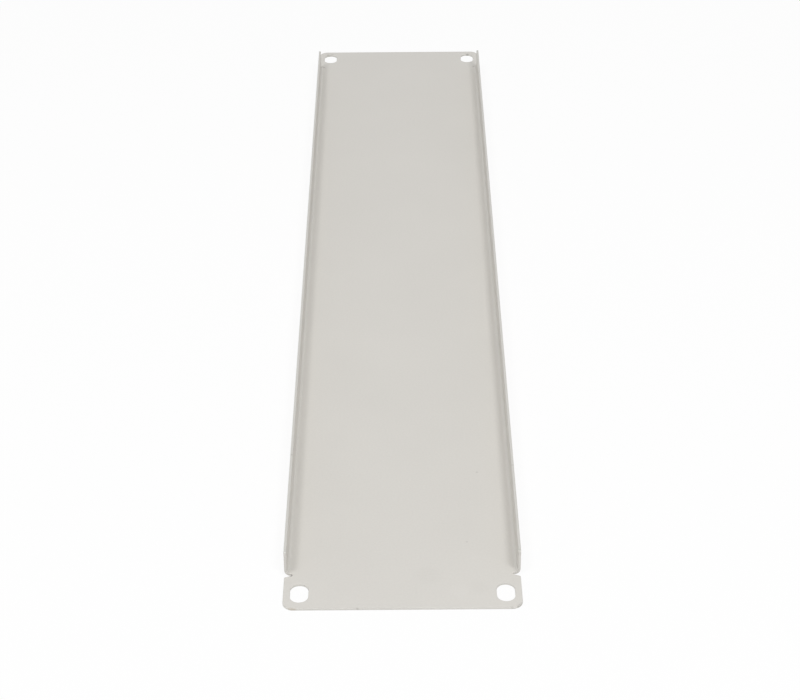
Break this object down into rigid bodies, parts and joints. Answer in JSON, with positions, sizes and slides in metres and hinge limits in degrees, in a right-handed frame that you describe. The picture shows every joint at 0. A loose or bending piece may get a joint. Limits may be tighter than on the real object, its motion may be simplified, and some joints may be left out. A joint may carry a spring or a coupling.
{
  "type": "rack blanking panel",
  "caption": "Flat sheet-steel panel that covers unused space in an equipment rack, with its long edges folded back as shallow flanges and a slotted ear at each end.",
  "frame": {"origin": "centre of the front face, which is the underside of the bounding box as the panel lies", "axes": "+X across the rack along the panel's length, +Y up the rack across its height, +Z from the front face to the rear, the way both flanges point"},
  "size_m": [0.4826, 0.0882, 0.011],
  "materials": {
    "powder_coat": "satin"
  },
  "bodies": {
    "root": {"blanking_panel": "powder_coat"}
  },
  "joints": []
}
